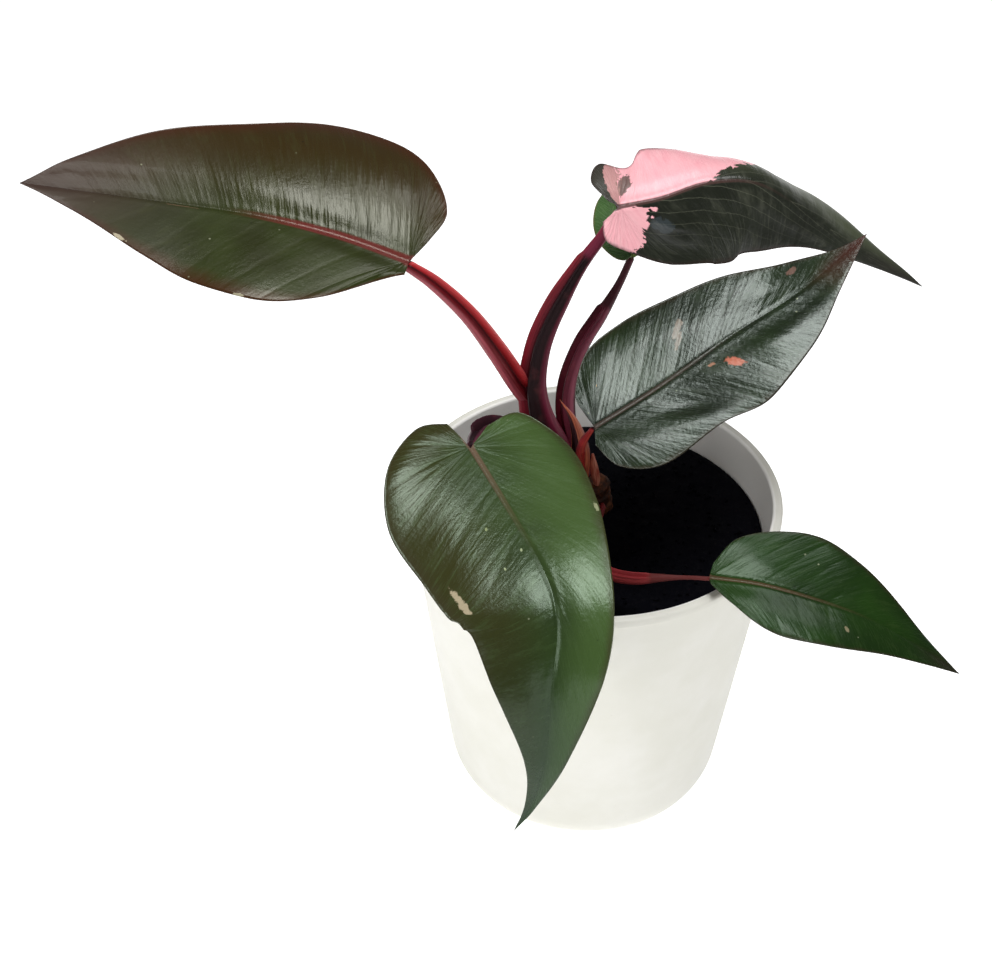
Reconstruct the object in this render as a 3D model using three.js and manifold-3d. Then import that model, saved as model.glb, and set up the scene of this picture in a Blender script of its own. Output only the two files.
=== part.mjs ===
// A potted philodendron: six leaves on long petioles round one short stem, in a plain white pot.
// Millimetres, +Z up. The origin is the middle of the pot's base, and the plant's best side faces -Y.
import * as THREE from 'three';
import { mergeVertices } from 'three/addons/utils/BufferGeometryUtils.js';
import Module from 'manifold-3d';

const gap = 0.3;            // left between any two neighbouring pieces
const turnSteps = 64;       // facets round the pot and the soil
const arcSteps = 3;         // half the facets of each arc in an outline

// Pot
const rimRadius = 75;
const potHeight = 149;
const potWall = 3;
const potFloor = 6;
const lipHeight = 3.5;      // the band round the rim
const lipProud = 1.5;       // how far the band stands out from the body
const baseRadius = 56;      // of the tapered body, carried down to the table
const cornerRadius = 22;    // round between body and base
const edgeRadius = 1.2;     // on the lip

// Soil
const soilBelowRim = 15;
const soilCrown = 1.5;      // how much the middle stands above the edge

// Stem and roots
const stemX = 2;
const stemY = 12;
const stemRadius = 6.5;
const stemAboveSoil = 14;
const stemInSoil = 38;
const footClearance = 1.5;  // between the stem's side and the foot of a petiole
const rootRadius = 2;
const rootReach = 34;       // sideways
const rootDrop = 52;        // downwards

// Leaves
const bladeThickness = 1.2;

const soilTop = potHeight - soilBelowRim;
const stemTop = soilTop + stemAboveSoil;
const stemFoot = soilTop - stemInSoil;
const lipBase = potHeight - lipHeight;
const bodyTopRadius = rimRadius - lipProud;
const taper = (bodyTopRadius - baseRadius) / lipBase;
const taperAngle = Math.atan(taper);

const colours = {
  pot: '#ecebe4',
  soil: '#17130f',
  stem: '#7a4a2c',
  root: '#b59a78',
  maroon: '#5d1522',
  red: '#a33a3c',
  cataphyll: '#c4603c',
  darkLeaf: '#3c4224',
  pinkLeaf: '#8d6a5c',
  greenLeaf: '#45602f',
};

const vec = (x, y, z) => new THREE.Vector3(x, y, z);
const curveOf = (points) => {
  const places = points.map((point) => vec(...point));
  return new THREE.CatmullRomCurve3(places, false, 'catmullrom', 0.5);
};
const mix = (a, b, share) => a + (b - a) * share;

// The value at a share of the way through an evenly spaced list.
function between(list, share) {
  const place = THREE.MathUtils.clamp(share, 0, 1) * (list.length - 1);
  const first = Math.min(Math.floor(place), list.length - 2);
  return mix(list[first], list[first + 1], place - first);
}

const plant = new THREE.Group();

function addPiece(name, geometry, colour, roughness) {
  const material = new THREE.MeshStandardMaterial({ color: colour, roughness, metalness: 0 });
  const piece = new THREE.Mesh(geometry, material);
  piece.name = name;
  plant.add(piece);
  return piece;
}

// Pot and soil are turned from outlines of radius and height.

// The centre of the round that joins a wall, at lineRadius where it would meet the table, to a floor.
function cornerCentre(lineRadius, round, floorHeight) {
  const radius = lineRadius + taper * (floorHeight + round) - round / Math.cos(taperAngle);
  return { radius, height: floorHeight + round };
}

const bodyRadiusAt = (height) => baseRadius + taper * height;
const innerRadiusAt = (height) => bodyRadiusAt(height) - potWall / Math.cos(taperAngle);

function turned(outline) {
  const geometry = new THREE.LatheGeometry(outline.getPoints(arcSteps), turnSteps);
  return geometry.rotateX(Math.PI / 2);
}

function potOutline() {
  const outer = cornerCentre(baseRadius, cornerRadius, 0);
  const innerRound = cornerRadius - potWall;
  const inner = cornerCentre(innerRadiusAt(0), innerRound, potFloor);
  const lipInner = innerRadiusAt(potHeight);
  const outline = new THREE.Path();
  outline.moveTo(0, 0);
  outline.lineTo(outer.radius, 0);
  outline.absarc(outer.radius, outer.height, cornerRadius, -Math.PI / 2, -taperAngle, false);
  outline.lineTo(bodyTopRadius, lipBase);
  outline.lineTo(rimRadius, lipBase + lipProud / 2);
  outline.absarc(rimRadius - edgeRadius, potHeight - edgeRadius, edgeRadius, 0, Math.PI / 2, false);
  outline.absarc(lipInner + edgeRadius, potHeight - edgeRadius, edgeRadius, Math.PI / 2, Math.PI, false);
  outline.absarc(inner.radius, inner.height, innerRound, -taperAngle, -Math.PI / 2, true);
  outline.lineTo(0, potFloor);
  return outline;
}

function soilOutline() {
  const innerRound = cornerRadius - potWall;
  const corner = cornerCentre(innerRadiusAt(0), innerRound, potFloor);
  const edgeHeight = soilTop - soilCrown / 2;
  const outline = new THREE.Path();
  outline.moveTo(0, potFloor + 1.2 * gap);
  outline.lineTo(corner.radius, potFloor + 1.2 * gap);
  outline.absarc(corner.radius, corner.height, innerRound - 1.2 * gap, -Math.PI / 2, -taperAngle, false);
  outline.lineTo(innerRadiusAt(edgeHeight) - 1.2 * gap, edgeHeight);
  outline.quadraticCurveTo(rimRadius / 2, soilTop + soilCrown, 0, soilTop + soilCrown / 2);
  return outline;
}

// A round limb along a curve, its radius following the list of radii from foot to tip.
// grow makes it larger all round, ends too, for the hollow that another limb sits in.
function limb(points, radii, steps, sides, grow = 0) {
  const curve = curveOf(points);
  const frames = curve.computeFrenetFrames(steps, false);
  const radiusCurve = new THREE.SplineCurve(radii.map((radius, i) => new THREE.Vector2(i, radius)));
  const positions = [];
  const faces = [];
  for (let i = 0; i <= steps; i += 1) {
    const centre = curve.getPointAt(i / steps);
    if (i === 0 || i === steps) {
      centre.addScaledVector(frames.tangents[i], i === 0 ? -grow : grow);
    }
    const radius = radiusCurve.getPoint(i / steps).y + grow;
    for (let k = 0; k < sides; k += 1) {
      const turn = (2 * Math.PI * k) / sides;
      const point = centre.clone();
      point.addScaledVector(frames.normals[i], radius * Math.cos(turn));
      point.addScaledVector(frames.binormals[i], radius * Math.sin(turn));
      positions.push(point.x, point.y, point.z);
    }
  }
  for (let i = 0; i < steps; i += 1) {
    for (let k = 0; k < sides; k += 1) {
      const here = i * sides + k;
      const next = i * sides + ((k + 1) % sides);
      faces.push(here, next, next + sides, here, next + sides, here + sides);
    }
  }
  for (let k = 1; k < sides - 1; k += 1) {
    const last = steps * sides;
    faces.push(0, k + 1, k, last, last + k, last + k + 1);
  }
  const geometry = new THREE.BufferGeometry();
  geometry.setAttribute('position', new THREE.Float32BufferAttribute(positions, 3));
  geometry.setIndex(faces);
  return geometry;
}

// Stem, with its roots leading off the foot.

const stemPoints = [
  [stemX + 1, stemY + 1, stemFoot],
  [stemX + 1, stemY + 1, mix(stemFoot, stemTop, 0.4)],
  [stemX, stemY, mix(stemFoot, stemTop, 0.75)],
  [stemX - 2, stemY, stemTop],
];
const stemRadii = [0.8, 1.1, 1.05, 1.12, 0.98, 1.0].map((share) => share * stemRadius);

// Each root leaves the stem's foot in its own direction and bends down.
function rootPoints(direction) {
  const out = [Math.cos(direction), Math.sin(direction)];
  const start = stemRadius * 0.55;
  const at = (reach, drop) => [
    stemX + 1 + out[0] * (start + reach),
    stemY + 1 + out[1] * (start + reach),
    stemFoot - gap - rootRadius - drop,
  ];
  return [
    at(0.0, 0.0),
    at(rootReach * 0.35, rootDrop * 0.12),
    at(rootReach * 0.75, rootDrop * 0.45),
    at(rootReach, rootDrop),
  ];
}

// From here on, heights in lists of points are above the soil.

// A petiole's foot beside the stem, which it leaves on a bearing in degrees.
function besideStem(bearing, height, radius) {
  const away = stemRadius + footClearance + radius;
  const turn = THREE.MathUtils.degToRad(bearing);
  return [stemX - 1 + away * Math.cos(turn), stemY + away * Math.sin(turn), height];
}

// Petioles, from the stem to just short of the blade. The thick foot is the sheath that wraps the stem.

const petioles = {
  petiole_left: {
    points: [
      besideStem(190, 8, 3.2), [-13, 11, 24], [-19, 11, 38], [-28, 10, 54], [-36, 9, 70], [-47, 7, 93],
      [-57, 7, 106], [-66, 7, 114],
    ],
    radii: [3.2, 3.9, 4.2, 4.2, 3.9, 3.6, 3.3, 2.9],
    colour: colours.red,
  },
  petiole_right_high: {
    points: [
      besideStem(132, 10, 3.6), [-12, 20.5, 26], [-18, 21, 41], [-21, 22, 55], [-21, 23, 69],
      [-18, 24, 80], [-13, 25, 93], [-6, 26, 106], [3, 26, 119],
    ],
    radii: [3.6, 4.4, 4.8, 4.6, 4.3, 4.1, 3.8, 3.2, 2.4],
    colour: colours.maroon,
  },
  petiole_back: {
    points: [
      [stemX + 1, stemY + 5, stemAboveSoil + 2], [-1, 20, 27], [-6, 25, 38], [-7, 29, 50],
      [-1, 33, 64], [4, 36, 76], [10, 40, 88], [14, 43, 96],
    ],
    radii: [2.8, 3.6, 3.8, 3.8, 3.4, 3.0, 1.8, 1.6],
    colour: colours.maroon,
  },
  petiole_right: {
    points: [besideStem(-84, 12, 2.2), [0, 1, 22], [-1, -3, 34], [-2, -10, 47], [-3, -19, 60]],
    radii: [2.2, 2.6, 2.6, 2.4, 2.2],
    colour: colours.red,
  },
  petiole_front: {
    points: [
      besideStem(225, 6, 2.6), [-16, -1, 22], [-27, 0, 36], [-37, 1, 44], [-43.5, -4, 47.5],
      [-46, -11, 48], [-46.5, -16, 48.5],
    ],
    radii: [2.6, 3.4, 4.6, 5.0, 4.6, 3.0, 2.0],
    colour: colours.maroon,
  },
  petiole_right_low: {
    points: [
      besideStem(-79, 5, 2.3), [-1, -14, 6], [-3, -32, 10], [3, -46, 14], [12, -53, 17], [23, -56, 20],
      [33, -57, 21], [38, -57, 20],
    ],
    radii: [2.3, 2.3, 2.3, 2.3, 2.3, 2.2, 1.7, 1.5],
    colour: colours.red,
  },
};

// Leaf blades. Each has a midrib curve, a side that faces up at its base and at its tip, and a margin on
// each hand given as shares of the midrib's length: [along, across]. The margin starts beside the notch.
// fold is the angle that a half stands up from the midrib, and curl is how far it then bends back down
// across the half width. Both are in degrees, listed evenly from base to tip.

const blades = {
  leaf_left: {
    midrib: [
      [-70, 8, 118], [-95, 12, 126], [-124, 16, 132], [-154, 20, 135], [-186, 20, 140],
      [-209, 16, 146],
    ],
    faceBase: [0, -0.35, 0.93],
    faceTip: [0, -0.35, 0.93],
    halfWidth: 42,
    colour: colours.darkLeaf,
    left: {
      fold: [12, 8],
      curl: [15, 15],
      margin: [
        [0, 0.05], [0.06, 0.1], [0.18, 0.21], [0.33, 0.265], [0.5, 0.245], [0.67, 0.18], [0.84, 0.08],
        [1, 0],
      ],
    },
    right: {
      fold: [12, 8],
      curl: [20, 20],
      margin: [
        [-0.03, 0.07], [-0.05, 0.16], [0.01, 0.27], [0.13, 0.35], [0.3, 0.365], [0.5, 0.285],
        [0.7, 0.21], [0.87, 0.095], [1, 0],
      ],
    },
  },
  leaf_right_high: {
    midrib: [
      [7, 28, 129], [23, 36, 128], [42, 46, 129], [62, 52, 125], [84, 56, 109], [105, 58, 92],
      [133, 60, 74],
    ],
    faceBase: [0.1, -0.5, 0.85],
    faceTip: [0.5, -0.5, 0.85],
    halfWidth: 32,
    colour: colours.pinkLeaf,
    left: {
      fold: [-12, -12, -4],
      curl: [12, 12, 70, 75, 60, 40, 20],
      margin: [
        [-0.02, 0.03], [-0.03, 0.1], [0.02, 0.155], [0.09, 0.13], [0.18, 0.18], [0.3, 0.175],
        [0.45, 0.17], [0.65, 0.14], [0.84, 0.06], [1, 0],
      ],
    },
    right: {
      fold: [-35, -24, -12],
      curl: [10, 10],
      margin: [
        [-0.05, 0.03], [-0.045, 0.08], [0.04, 0.13], [0.17, 0.19], [0.32, 0.21], [0.48, 0.165],
        [0.6, 0.09], [0.78, 0.03], [1, 0],
      ],
    },
  },
  leaf_back: {
    midrib: [[14, 44, 99], [9, 58, 102], [7, 72, 105], [6, 84, 105]],
    faceBase: [0, -0.3, 0.95],
    faceTip: [0, -0.2, 0.95],
    halfWidth: 12,
    colour: colours.greenLeaf,
    left: {
      fold: [8, 5],
      curl: [20, 20],
      margin: [
        [-0.06, 0.05], [-0.1, 0.16], [0.05, 0.25], [0.35, 0.28], [0.65, 0.2], [0.87, 0.08], [1, 0],
      ],
    },
    right: {
      fold: [8, 5],
      curl: [20, 20],
      margin: [
        [-0.06, 0.05], [-0.1, 0.16], [0.05, 0.25], [0.35, 0.28], [0.65, 0.2], [0.87, 0.08], [1, 0],
      ],
    },
  },
  leaf_right: {
    midrib: [[-2, -22, 64], [22, -10, 74], [49, 4, 87], [75, 16, 99], [100, 28, 117]],
    faceBase: [-0.15, -0.45, 0.88],
    faceTip: [-0.2, -0.45, 0.85],
    halfWidth: 34,
    colour: colours.greenLeaf,
    left: {
      fold: [8, 5],
      curl: [15, 15],
      margin: [
        [0, 0.04], [0.01, 0.12], [0.12, 0.225], [0.26, 0.25], [0.42, 0.225], [0.59, 0.185],
        [0.76, 0.105], [0.9, 0.03], [1, 0],
      ],
    },
    right: {
      fold: [8, 5],
      curl: [15, 15],
      margin: [
        [-0.03, 0.05], [-0.01, 0.15], [0.1, 0.22], [0.3, 0.215], [0.46, 0.24], [0.66, 0.175],
        [0.83, 0.08], [1, 0],
      ],
    },
  },
  leaf_front: {
    midrib: [
      [-48, -20, 53], [-35, -45, 46], [-21, -75, 39], [-17, -92, 30], [-19, -106, 12],
      [-21, -114, -16], [-26, -115, -39], [-32, -116, -52],
    ],
    faceBase: [0, -0.1, 1],
    faceTip: [-0.1, -0.9, 0.3],
    halfWidth: 40,
    colour: colours.greenLeaf,
    left: {
      fold: [3, 5],
      curl: [20, 20],
      margin: [
        [-0.04, 0.06], [-0.05, 0.15], [0.07, 0.205], [0.24, 0.18], [0.42, 0.125], [0.6, 0.1],
        [0.77, 0.047], [0.9, 0.015], [1, 0],
      ],
    },
    right: {
      fold: [8, 5],
      curl: [20, 20],
      margin: [
        [-0.08, 0.02], [-0.09, 0.09], [-0.02, 0.19], [0.11, 0.25], [0.26, 0.235], [0.44, 0.225],
        [0.57, 0.18], [0.68, 0.085], [0.84, 0.025], [1, 0],
      ],
    },
  },
  leaf_right_low: {
    midrib: [[40, -58, 22], [62, -62, 21], [92, -68, 14], [113, -72, 4], [134, -76, -10]],
    faceBase: [0, -0.3, 0.9],
    faceTip: [0.4, -0.3, 0.8],
    halfWidth: 24,
    colour: colours.greenLeaf,
    left: {
      fold: [10, 6],
      curl: [10, 10],
      margin: [
        [0.01, 0.06], [0.08, 0.16], [0.22, 0.228], [0.38, 0.25], [0.52, 0.205], [0.7, 0.115],
        [0.87, 0.04], [1, 0],
      ],
    },
    right: {
      fold: [10, 6],
      curl: [10, 10],
      margin: [
        [0.01, 0.03], [0.09, 0.1], [0.2, 0.172], [0.35, 0.19], [0.55, 0.158], [0.78, 0.085], [1, 0],
      ],
    },
  },
};

const bladeRows = 24;       // along each half
const bladeSteps = 6;       // from midrib to margin
const fanShare = 0.25;      // the part of a margin whose veins all start at the notch

// The frame at a distance along the midrib: its point, tangent, upward normal and leftward side.
function midribFrame(blade, curve, length, along) {
  const share = THREE.MathUtils.clamp(along / length, 0, 1);
  const tangent = curve.getTangentAt(share);
  const normal = vec(...blade.faceBase).lerp(vec(...blade.faceTip), share);
  normal.addScaledVector(tangent, -normal.dot(tangent)).normalize();
  const side = normal.clone().cross(tangent);
  const point = curve.getPointAt(share).addScaledVector(tangent, along - share * length);
  return { point, tangent, normal, side };
}

// A point of the blade at a distance along the midrib and a distance out from it on one hand.
// Across the half, the section is an arc that leaves the midrib at the fold angle and bends down by curl.
function bladePoint(blade, curve, length, hand, along, out) {
  const half = hand > 0 ? blade.left : blade.right;
  const frame = midribFrame(blade, curve, length, along);
  const fold = THREE.MathUtils.degToRad(between(half.fold, along / length));
  const bend = THREE.MathUtils.degToRad(between(half.curl, along / length)) / blade.halfWidth;
  const level = (Math.sin(fold) - Math.sin(fold - bend * out)) / bend;
  const height = (Math.cos(fold - bend * out) - Math.cos(fold)) / bend;
  return frame.point.addScaledVector(frame.side, hand * level).addScaledVector(frame.normal, height);
}

function bladeNormal(blade, curve, length, hand, along, out) {
  if (out < 0.01) {
    return midribFrame(blade, curve, length, along).normal;
  }
  const step = 0.5;
  const at = (a, o) => bladePoint(blade, curve, length, hand, a, o);
  const alongWay = at(along + step, out).sub(at(along - step, out));
  const outWay = at(along, out + step).sub(at(along, out - Math.min(step, out)));
  return alongWay.cross(outWay).multiplyScalar(hand).normalize();
}

// A closed sheet: the upper face, the lower face, and the wall round the margin and the notch.
function bladeGeometry(blade) {
  const curve = curveOf(blade.midrib);
  const length = curve.getLength();
  const positions = [];
  const faces = [];
  const known = new Map();
  const weld = (point) => {
    const key = point.toArray().map((value) => value.toFixed(3)).join(' ');
    if (!known.has(key)) {
      known.set(key, positions.length / 3);
      positions.push(point.x, point.y, point.z);
    }
    return known.get(key);
  };
  const face = (a, b, c, turn) => {
    if (a !== b && b !== c && c !== a) {
      faces.push(a, turn > 0 ? b : c, turn > 0 ? c : b);
    }
  };
  for (const hand of [1, -1]) {
    const half = hand > 0 ? blade.left : blade.right;
    const margin = new THREE.SplineCurve(half.margin.map((pair) => new THREE.Vector2(...pair)));
    const upper = [];
    const lower = [];
    for (let i = 0; i <= bladeRows; i += 1) {
      const round = i / bladeRows;
      const edge = margin.getPoint(round);
      const start = Math.max(0, (round - fanShare) / (1 - fanShare)) ** 1.1;
      upper.push([]);
      lower.push([]);
      for (let j = 0; j <= bladeSteps; j += 1) {
        const along = mix(start, edge.x, j / bladeSteps) * length;
        const out = (edge.y * length * j) / bladeSteps;
        const normal = bladeNormal(blade, curve, length, hand, along, out);
        const point = bladePoint(blade, curve, length, hand, along, out);
        upper[i].push(weld(point.clone().addScaledVector(normal, bladeThickness / 2)));
        lower[i].push(weld(point.clone().addScaledVector(normal, -bladeThickness / 2)));
      }
    }
    for (let i = 0; i < bladeRows; i += 1) {
      for (let j = 0; j < bladeSteps; j += 1) {
        face(upper[i][j], upper[i + 1][j], upper[i + 1][j + 1], hand);
        face(upper[i][j], upper[i + 1][j + 1], upper[i][j + 1], hand);
        face(lower[i][j], lower[i + 1][j + 1], lower[i + 1][j], hand);
        face(lower[i][j], lower[i][j + 1], lower[i + 1][j + 1], hand);
      }
      const edge = bladeSteps;
      face(upper[i][edge], upper[i + 1][edge], lower[i + 1][edge], hand);
      face(upper[i][edge], lower[i + 1][edge], lower[i][edge], hand);
    }
    for (let j = 0; j < bladeSteps; j += 1) {
      face(upper[0][j], upper[0][j + 1], lower[0][j + 1], hand);
      face(upper[0][j], lower[0][j + 1], lower[0][j], hand);
    }
  }
  const geometry = new THREE.BufferGeometry();
  geometry.setAttribute('position', new THREE.Float32BufferAttribute(positions, 3));
  geometry.setIndex(faces);
  return geometry;
}

// A geometry as a solid that can be cut, and back.

const wasm = await Module();
wasm.setup();

function solidFrom(geometry) {
  const bare = geometry.clone();
  bare.deleteAttribute('normal');
  bare.deleteAttribute('uv');
  const merged = mergeVertices(bare, 1e-3);
  return new wasm.Manifold(new wasm.Mesh({
    numProp: 3,
    vertProperties: merged.attributes.position.array,
    triVerts: new Uint32Array(merged.index.array),
  }));
}

function geometryFrom(solid) {
  const mesh = solid.getMesh();
  const geometry = new THREE.BufferGeometry();
  geometry.setAttribute('position', new THREE.Float32BufferAttribute(mesh.vertProperties, 3));
  geometry.setIndex([...mesh.triVerts]);
  return geometry;
}

// The assembly.

addPiece('pot', turned(potOutline()), colours.pot, 0.55);

const rootDirections = [0.4, 2.0, 3.6, 5.2];
const rootsAt = (grow) => rootDirections.map((direction) => {
  const radii = [1, 0.9, 0.7, 0.4].map((share) => share * rootRadius);
  return limb(rootPoints(direction), radii, 8, 8, grow);
});

let soil = solidFrom(turned(soilOutline()));
soil = soil.subtract(solidFrom(limb(stemPoints, stemRadii, 12, 20, gap)));
const wellRadius = stemRadii[0] + 2 * gap;
const wellDepth = 2 * rootRadius + 3 * gap;
const stemWell = new THREE.CylinderGeometry(wellRadius, wellRadius, wellDepth, 20);
stemWell.rotateX(Math.PI / 2).translate(stemX + 1, stemY + 1, stemFoot + gap - wellDepth / 2);
soil = soil.subtract(solidFrom(stemWell));
for (const channel of rootsAt(gap)) {
  soil = soil.subtract(solidFrom(channel));
}
addPiece('potting_soil', geometryFrom(soil), colours.soil, 0.95);

addPiece('main_stem', limb(stemPoints, stemRadii, 12, 16), colours.stem, 0.8);
rootsAt(0).forEach((root, i) => addPiece(`root_${i + 1}`, root, colours.root, 0.9));

// The dry pointed sheath left by the newest leaf.
const cataphyllFoot = [stemX - 5.5, stemY - 3, stemAboveSoil + 1.5];
const cataphyllPoints = [cataphyllFoot, [-5, 8, 30], [-9, 8, 44], [-14, 8, 55]];
const cataphyll = limb(cataphyllPoints, [1.6, 2.6, 2.2, 0.4], 10, 10);
addPiece('cataphyll', cataphyll.translate(0, 0, soilTop), colours.cataphyll, 0.6);

for (const [name, petiole] of Object.entries(petioles)) {
  const geometry = limb(petiole.points, petiole.radii, 18, 12);
  addPiece(name, geometry.translate(0, 0, soilTop), petiole.colour, 0.4);
}
for (const [name, blade] of Object.entries(blades)) {
  addPiece(name, bladeGeometry(blade).translate(0, 0, soilTop), blade.colour, 0.35);
}

export default plant;
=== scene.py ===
import math

import bmesh
import bpy
import numpy as np
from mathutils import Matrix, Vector


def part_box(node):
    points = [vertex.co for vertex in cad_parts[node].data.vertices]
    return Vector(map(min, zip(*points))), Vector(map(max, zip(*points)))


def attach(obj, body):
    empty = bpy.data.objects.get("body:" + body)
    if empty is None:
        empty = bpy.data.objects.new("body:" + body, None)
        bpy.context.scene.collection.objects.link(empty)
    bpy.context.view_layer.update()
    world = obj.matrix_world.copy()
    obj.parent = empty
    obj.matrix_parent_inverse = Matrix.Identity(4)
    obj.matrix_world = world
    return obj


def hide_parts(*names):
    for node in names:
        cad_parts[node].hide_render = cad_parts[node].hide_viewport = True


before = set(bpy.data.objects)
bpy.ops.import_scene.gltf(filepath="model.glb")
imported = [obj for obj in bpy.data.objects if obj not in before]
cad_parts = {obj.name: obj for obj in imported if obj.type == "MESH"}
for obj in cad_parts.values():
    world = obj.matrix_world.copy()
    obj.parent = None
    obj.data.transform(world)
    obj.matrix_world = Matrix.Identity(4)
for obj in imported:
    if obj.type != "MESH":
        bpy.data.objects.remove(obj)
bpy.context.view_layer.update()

mm = 0.001


# Working parts: shader maths, curves and meshes.

def shade(code):
    # a screen colour such as "#3c4224" as the linear colour that a shader wants
    parts = [int(code[i:i + 2], 16) / 255 for i in (1, 3, 5)]
    return tuple(p / 12.92 if p <= 0.04045 else ((p + 0.055) / 1.055) ** 2.4 for p in parts) + (1.0,)


def plug(tree, place, source):
    if isinstance(source, Field):
        tree.links.new(source.socket, place)
    else:
        place.default_value = source


class Field:
    # a node's output that Python arithmetic works on: each operator adds one Math node
    def __init__(self, tree, socket):
        self.tree = tree
        self.socket = socket

    def maths(self, operation, *terms):
        node = self.tree.nodes.new("ShaderNodeMath")
        node.operation = operation
        for place, term in zip(node.inputs, terms):
            plug(self.tree, place, term)
        return Field(self.tree, node.outputs[0])

    def __add__(self, other):
        return self.maths("ADD", self, other)

    def __radd__(self, other):
        return self.maths("ADD", other, self)

    def __sub__(self, other):
        return self.maths("SUBTRACT", self, other)

    def __rsub__(self, other):
        return self.maths("SUBTRACT", other, self)

    def __mul__(self, other):
        return self.maths("MULTIPLY", self, other)

    def __rmul__(self, other):
        return self.maths("MULTIPLY", other, self)

    def __truediv__(self, other):
        return self.maths("DIVIDE", self, other)

    def __pow__(self, other):
        return self.maths("POWER", self, other)

    def size(self):
        return self.maths("ABSOLUTE", self)

    def fraction(self):
        return self.maths("FRACT", self)

    def least(self, other):
        return self.maths("MINIMUM", self, other)


class Finish:
    # one procedural material: a Principled shader and the nodes that feed it
    def __init__(self, name, fixed):
        self.material = bpy.data.materials.new(name)
        self.material.use_nodes = True
        self.tree = self.material.node_tree
        self.shader = self.tree.nodes["Principled BSDF"]
        for socket, value in fixed.items():
            self.shader.inputs[socket].default_value = value

    def add(self, kind, settings, inputs, output=0):
        node = self.tree.nodes.new(kind)
        for name, value in settings.items():
            if name == "stops":
                while len(node.color_ramp.elements) < len(value):
                    node.color_ramp.elements.new(0.5)
                for element, (place, colour) in zip(node.color_ramp.elements, value):
                    element.position = place
                    element.color = colour
            else:
                setattr(node, name, value)
        for place, value in inputs.items():
            plug(self.tree, node.inputs[place], value)
        return Field(self.tree, node.outputs[output])

    def give(self, **values):
        names = {"colour": "Base Color", "roughness": "Roughness", "coat": "Coat Weight", "normal": "Normal"}
        for name, value in values.items():
            plug(self.tree, self.shader.inputs[names[name]], value)

    def objectPlace(self):
        return self.add("ShaderNodeTexCoord", {}, {}, "Object")

    def skinPlace(self):
        # the two shares of a piece's own map
        skin = self.add("ShaderNodeUVMap", {"uv_map": "skin"}, {})
        return [self.add("ShaderNodeSeparateXYZ", {}, {0: skin}, k) for k in range(2)]

    def attribute(self, name):
        return self.add("ShaderNodeAttribute", {"attribute_name": name}, {}, "Fac")

    def vector(self, x, y):
        return self.add("ShaderNodeCombineXYZ", {}, {0: x, 1: y})

    def noise(self, where, scale, detail=2.0, rough=0.5):
        inputs = {"Vector": where, "Scale": scale, "Detail": detail, "Roughness": rough}
        return self.add("ShaderNodeTexNoise", {}, inputs)

    def rise(self, value, low, high):
        # 0 below low, 1 above high, smooth between
        settings = {"interpolation_type": "SMOOTHSTEP"}
        return self.add("ShaderNodeMapRange", settings, {"Value": value, "From Min": low, "From Max": high})

    def tint(self, share, first, second):
        return self.add("ShaderNodeMix", {"data_type": "RGBA"}, {0: share, 6: first, 7: second}, 2)

    def bump(self, height, depth, strength=1.0):
        return self.add("ShaderNodeBump", {}, {"Height": height, "Distance": depth, "Strength": strength})


def unit(vectors):
    return vectors / np.maximum(np.linalg.norm(vectors, axis=-1, keepdims=True), 1e-12)


def smooth(low, high, value):
    # 0 below low, 1 above high, with an S-shaped ramp between
    t = np.clip((value - low) / (high - low), 0, 1)
    return t * t * (3 - 2 * t)


def bell(value, centre, width):
    # a smooth hump: e to the minus square of the distance from the centre in widths
    return np.exp(-((value - centre) / width) ** 2)


def splineThrough(points, share, overrun):
    # Catmull-Rom cubic through evenly spaced points: the slope at a point is half the step between its
    # neighbours. overrun 1 carries the end legs straight on, and 0 repeats the end points.
    points = np.asarray(points, float).reshape(len(points), -1)
    before = points[0] + overrun * (points[0] - points[1])
    after = points[-1] + overrun * (points[-1] - points[-2])
    chain = np.vstack([before, points, after])
    place = np.clip(share, 0, 1) * (len(points) - 1)
    leg = np.minimum(place.astype(int), len(points) - 2)
    t = (place - leg)[..., None]
    a, b, c, d = (chain[leg + k] for k in range(4))
    return b + 0.5 * t * (c - a + t * (2 * a - 5 * b + 4 * c - d + t * (3 * (b - c) + d - a)))


def between(values, share):
    # straight-line reading of an evenly spaced list
    return np.interp(np.clip(share, 0, 1), np.linspace(0, 1, len(values)), values)


class Path:
    # a smooth curve through points, read by the distance along it
    def __init__(self, points):
        self.line = splineThrough(points, np.linspace(0, 1, 801), 1.0)
        legs = np.linalg.norm(np.diff(self.line, axis=0), axis=1)
        self.reach = np.concatenate([[0], np.cumsum(legs)])
        self.length = self.reach[-1]
        self.heading = unit(np.gradient(self.line, axis=0))

    def at(self, distance):
        # point and heading there, straight on past either end
        inside = np.clip(distance, 0, self.length)
        point = np.stack([np.interp(inside, self.reach, self.line[:, k]) for k in range(3)], -1)
        heading = unit(np.stack([np.interp(inside, self.reach, self.heading[:, k]) for k in range(3)], -1))
        return point + heading * (distance - inside)[..., None], heading


def gridFaces(rows, columns, closed=False):
    # quads between neighbouring rows and columns of a grid numbered row by row
    i, j = np.meshgrid(np.arange(rows - 1), np.arange(columns if closed else columns - 1), indexing="ij")
    k = (j + 1) % columns
    here, ahead = i * columns, (i + 1) * columns
    return np.stack([here + j, ahead + j, ahead + k, here + k], -1).reshape(-1, 4)


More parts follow.
